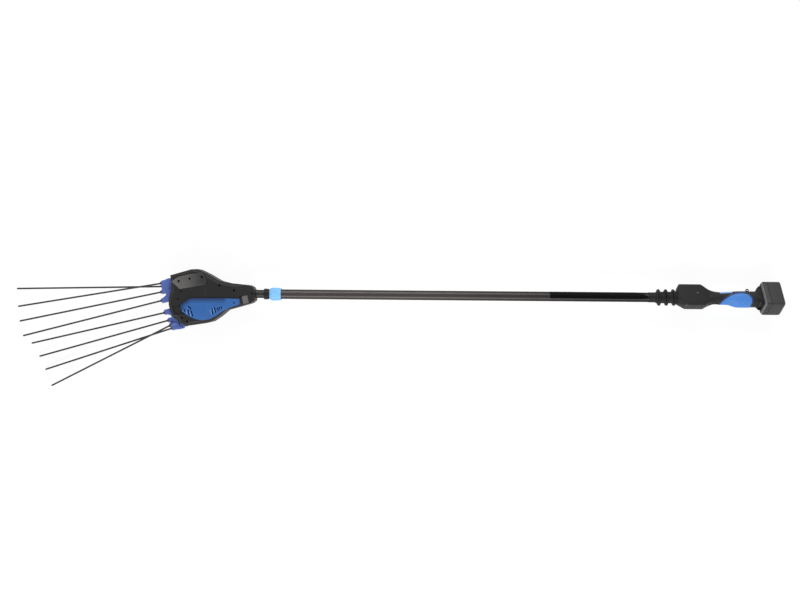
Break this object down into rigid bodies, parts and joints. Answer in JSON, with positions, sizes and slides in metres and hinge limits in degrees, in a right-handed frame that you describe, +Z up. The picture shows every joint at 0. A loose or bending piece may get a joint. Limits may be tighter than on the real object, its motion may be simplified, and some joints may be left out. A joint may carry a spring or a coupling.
{
  "type": "electric olive harvester",
  "caption": "Battery-powered olive harvester: clapping tined combs on a tilted gear head, a telescopic pole with twist lock, and a grip handle with slide-on battery.",
  "frame": {"origin": "on the pole axis at the clip point, midway along the tool", "axes": "+X along the pole towards the battery, +Y across the pole on the upper comb's side, +Z up from the surface the tool lies on"},
  "size_m": [2.2095, 0.3479, 0.1],
  "materials": {
    "shell_black": "fine-grained moulding",
    "cover_blue": "smooth moulding",
    "comb_blue": "smooth moulding",
    "collar_blue": "smooth moulding",
    "lever_blue": "smooth moulding",
    "soft_blue": "soft overmould",
    "soft_black": "ribbed rubber",
    "pole_metal": "dark anodised",
    "band_black": "gloss film",
    "tine_rod": "carbon rod",
    "steel": "ground",
    "dark_steel": "blackened",
    "nylon": "natural",
    "bronze": "sintered",
    "copper": "enamelled wire",
    "board_green": "solder mask",
    "cell_wrap": "shrink wrap",
    "alloy": "machined",
    "contact": "plated",
    "lead_black": "sheathed",
    "button_grey": "satin",
    "battery_black": "fine-grained moulding"
  },
  "bodies": {
    "pole_handle": {"pole": "pole_metal", "pole_label": "band_black", "collar_bush": "shell_black", "lock_collet": "nylon", "coiled_cable": "lead_black", "ribbed_boot": "soft_black", "handle_top": "shell_black", "handle_bottom": "shell_black", "grip_pad": "soft_blue", "control_board": "board_green", "lever_pin": "steel", "lever_spring": "steel", "micro_switch": "shell_black", "handle_screws": "dark_steel", "battery_dock": "shell_black", "dock_terminals": "contact"},
    "collar": {"lock_collar": "collar_blue"},
    "head": {"front_shell": "shell_black", "rear_shell": "shell_black", "front_cover": "cover_blue", "rear_cover": "cover_blue", "shell_screws": "dark_steel", "inner_tube": "pole_metal", "stop_ring": "shell_black", "tube_plugs": "shell_black", "head_cable": "lead_black", "motor_can": "dark_steel", "motor_stator": "steel", "motor_windings": "copper", "motor_end_plate": "alloy", "ball_bearings": "steel", "pivot_shafts": "steel"},
    "crank": {"crank_shaft": "steel", "drive_gear": "nylon", "eccentric": "steel"},
    "rotor": {"motor_rotor": "steel", "motor_shaft": "steel", "pinion": "steel"},
    "rod": {"conrod": "alloy", "conrod_bearing": "steel"},
    "comb_upper": {"upper_comb": "comb_blue", "upper_sector": "nylon", "upper_bushes": "bronze", "upper_tines": "tine_rod", "upper_ferrules": "comb_blue", "wrist_pin": "steel"},
    "comb_lower": {"lower_comb": "comb_blue", "lower_sector": "nylon", "lower_bushes": "bronze", "lower_tines": "tine_rod", "lower_ferrules": "comb_blue"},
    "lever": {"thumb_lever": "lever_blue"},
    "button": {"power_button": "button_grey"},
    "battery": {"battery_case_dock": "battery_black", "battery_case_end": "battery_black", "battery_cells": "cell_wrap", "cell_holders": "nylon", "battery_board": "board_green"},
    "latch": {"battery_latch": "battery_black"}
  },
  "joints": [
    {"name": "pole_extend", "type": "slide", "parent": "pole_handle", "child": "head", "axis": [-1, 0, 0], "range_m": [0, 0.6]},
    {"name": "collar_twist", "type": "hinge", "parent": "pole_handle", "child": "collar", "pos_m": [-0.364, 0, 0], "axis": [1, 0, 0], "range_deg": [0, 120]},
    {"name": "crank_spin", "type": "hinge", "parent": "head", "child": "crank", "pos_m": [-0.57929, 0.00286, 0], "axis": [0, 0, 1], "continuous": true},
    {"name": "motor_spin", "type": "hinge", "parent": "head", "child": "rotor", "pos_m": [-0.54754, -0.02464, 0], "axis": [0, 0, 1], "continuous": true},
    {"name": "conrod_turn", "type": "hinge", "parent": "crank", "child": "rod", "pos_m": [-0.57807, -0.00199, 0], "axis": [0, 0, 1], "continuous": true},
    {"name": "upper_comb_swing", "type": "hinge", "parent": "head", "child": "comb_upper", "pos_m": [-0.64381, 0.01346, 0], "axis": [0, 0, 1], "range_deg": [-7, 7]},
    {"name": "lower_comb_swing", "type": "hinge", "parent": "head", "child": "comb_lower", "pos_m": [-0.62432, -0.06413, 0], "axis": [0, 0, 1], "range_deg": [-7, 7]},
    {"name": "lever_press", "type": "hinge", "parent": "pole_handle", "child": "lever", "pos_m": [0.93457, 0.00952, 0.00444], "axis": [0, 0.4226, -0.9063], "range_deg": [0, 5], "stiffness_Nm_per_rad": 1.5, "springref_deg": -2.86, "deforming": ["lever_spring"]},
    {"name": "button_press", "type": "slide", "parent": "pole_handle", "child": "button", "axis": [0, -0.5736, -0.8192], "range_m": [0, 0.0012], "stiffness_N_per_m": 800, "springref_m": -0.0005},
    {"name": "battery_slide", "type": "slide", "parent": "pole_handle", "child": "battery", "axis": [0, -0.8192, 0.5736], "range_m": [0, 0.075]},
    {"name": "latch_press", "type": "slide", "parent": "battery", "child": "latch", "axis": [0, 0.8192, -0.5736], "range_m": [0, 0.002], "stiffness_N_per_m": 800, "springref_m": -0.0005}
  ],
  "couplings": [
    {"joint": "motor_spin", "follows": "crank_spin", "ratio": -3},
    {"joint": "conrod_turn", "follows": "crank_spin", "ratio": -1},
    {"joint": "lower_comb_swing", "follows": "upper_comb_swing", "ratio": -1}
  ]
}
